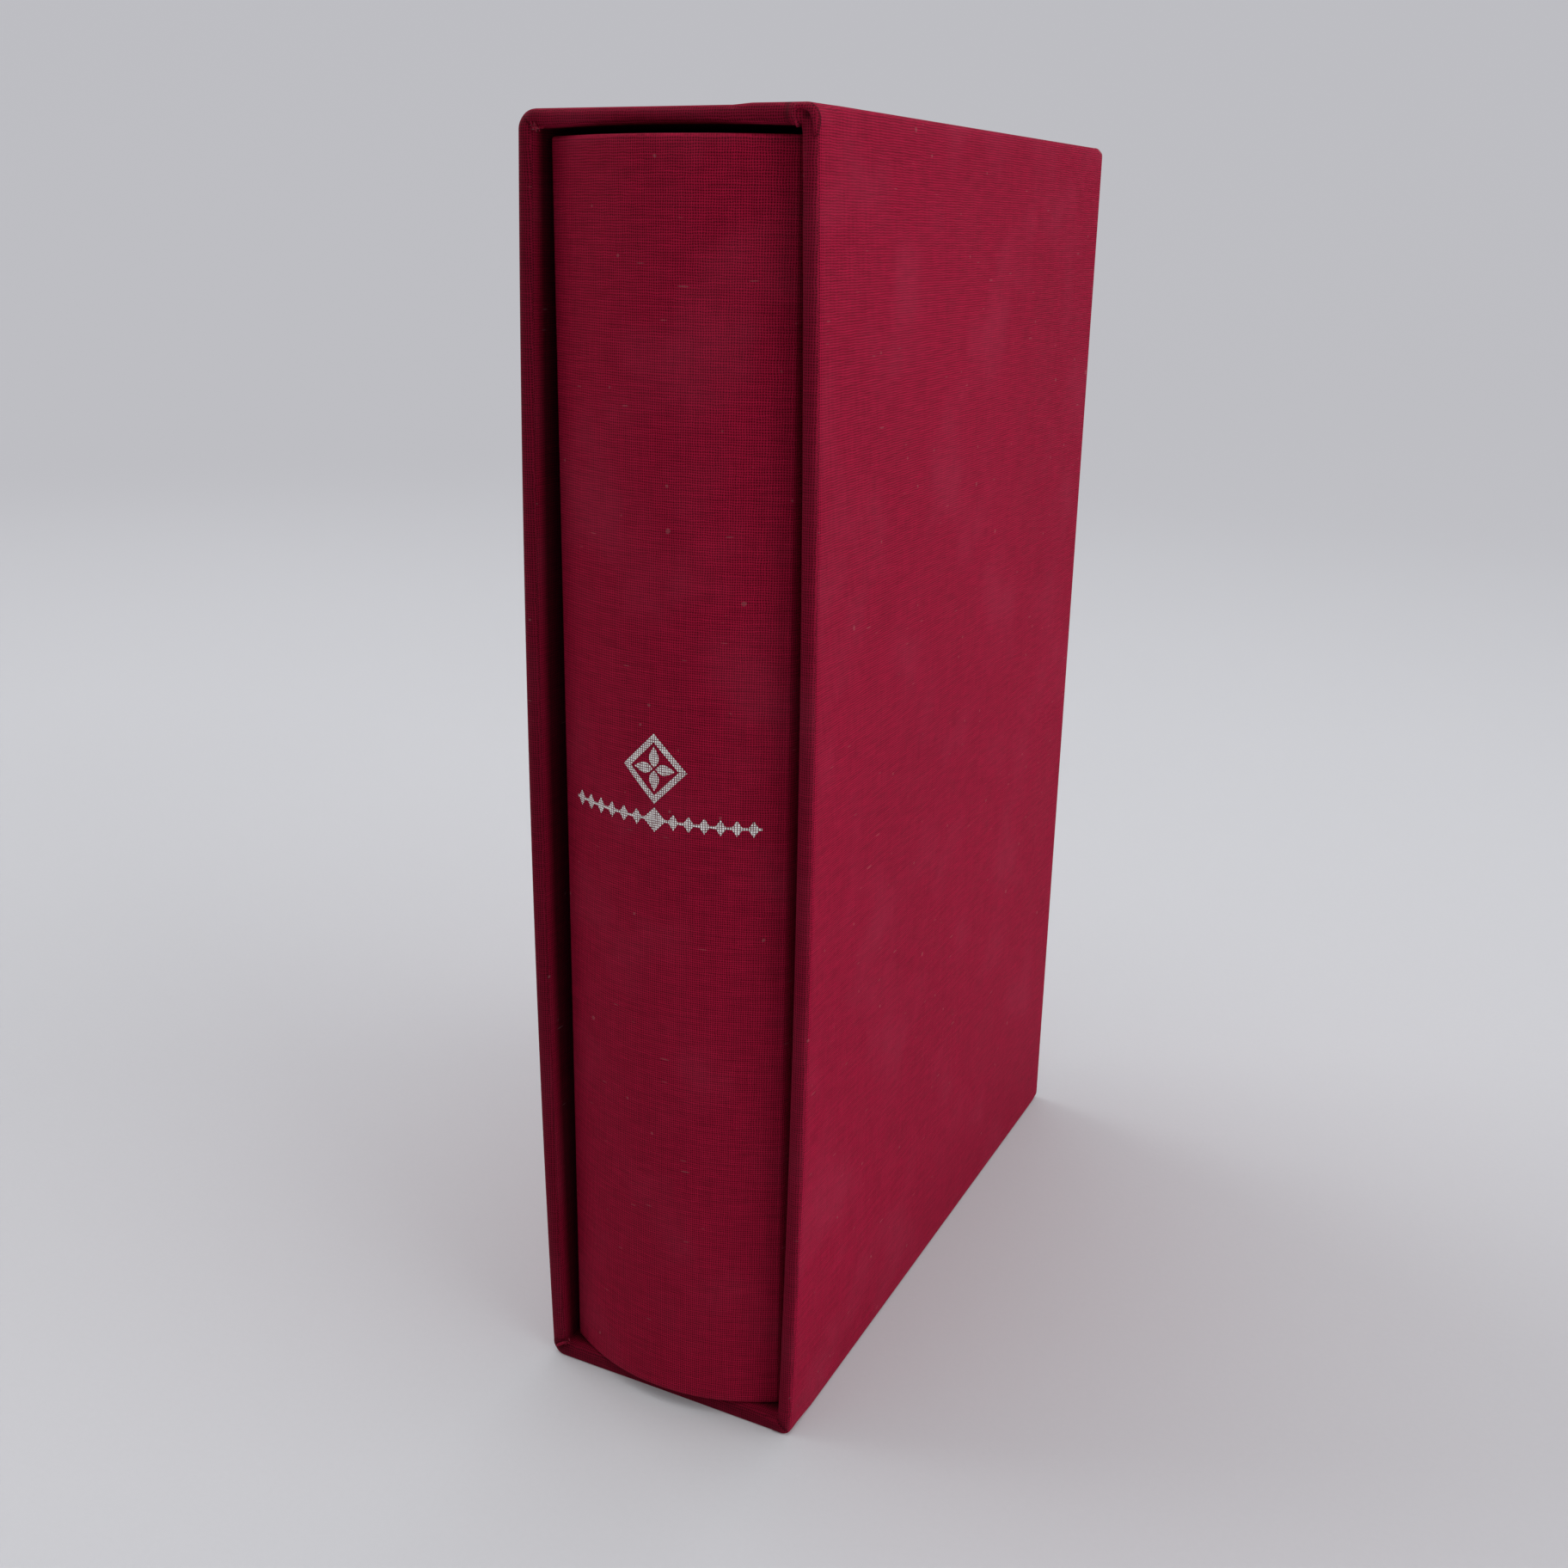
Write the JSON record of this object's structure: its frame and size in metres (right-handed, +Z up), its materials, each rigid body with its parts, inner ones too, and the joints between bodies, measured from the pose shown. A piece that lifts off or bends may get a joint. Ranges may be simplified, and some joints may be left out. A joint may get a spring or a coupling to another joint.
{
  "type": "book in a slipcase",
  "caption": "Cloth-bound hardback with a round back, standing in a cloth-covered slipcase that is open at the front.",
  "frame": {"origin": "middle of the base's bounding box, on the surface that the case stands on", "axes": "+X to the right seen from the mouth, +Y from the mouth towards the back of the case, +Z up"},
  "size_m": [0.0582, 0.156, 0.243],
  "materials": {
    "case_cloth": "plain-weave crimson book cloth, matt, slightly rubbed",
    "book_cloth": "plain-weave dark crimson book cloth, matt",
    "grey_board": "dense grey pulp board, matt",
    "lining_paper": "black lining paper, matt",
    "page_paper": "cream uncoated paper, trimmed edges",
    "end_paper": "cream endpaper, matt",
    "mull_cotton": "unbleached open-weave cotton",
    "kraft_paper": "brown spine lining paper, matt",
    "band_silk": "woven silk band",
    "silver_foil": "silver stamping foil, broken by the weave"
  },
  "bodies": {
    "slipcase": {"case_left_board": "grey_board", "case_right_board": "grey_board", "case_back_board": "grey_board", "case_bottom_board": "grey_board", "case_top_board": "grey_board", "case_wrap_cloth": "case_cloth", "case_top_cloth": "case_cloth", "case_bottom_cloth": "case_cloth", "case_lining": "lining_paper"},
    "book": {"text_block": "page_paper", "mull": "mull_cotton", "spine_lining": "kraft_paper", "head_band": "band_silk", "tail_band": "band_silk", "front_endpaper": "end_paper", "back_endpaper": "end_paper", "front_board": "grey_board", "back_board": "grey_board", "spine_inlay": "grey_board", "cover_cloth": "book_cloth", "foil_lozenge": "silver_foil", "foil_rule": "silver_foil"}
  },
  "joints": [
    {"name": "book_slide", "type": "slide", "parent": "slipcase", "child": "book", "axis": [0, -1, 0], "range_m": [0, 0.16]}
  ]
}
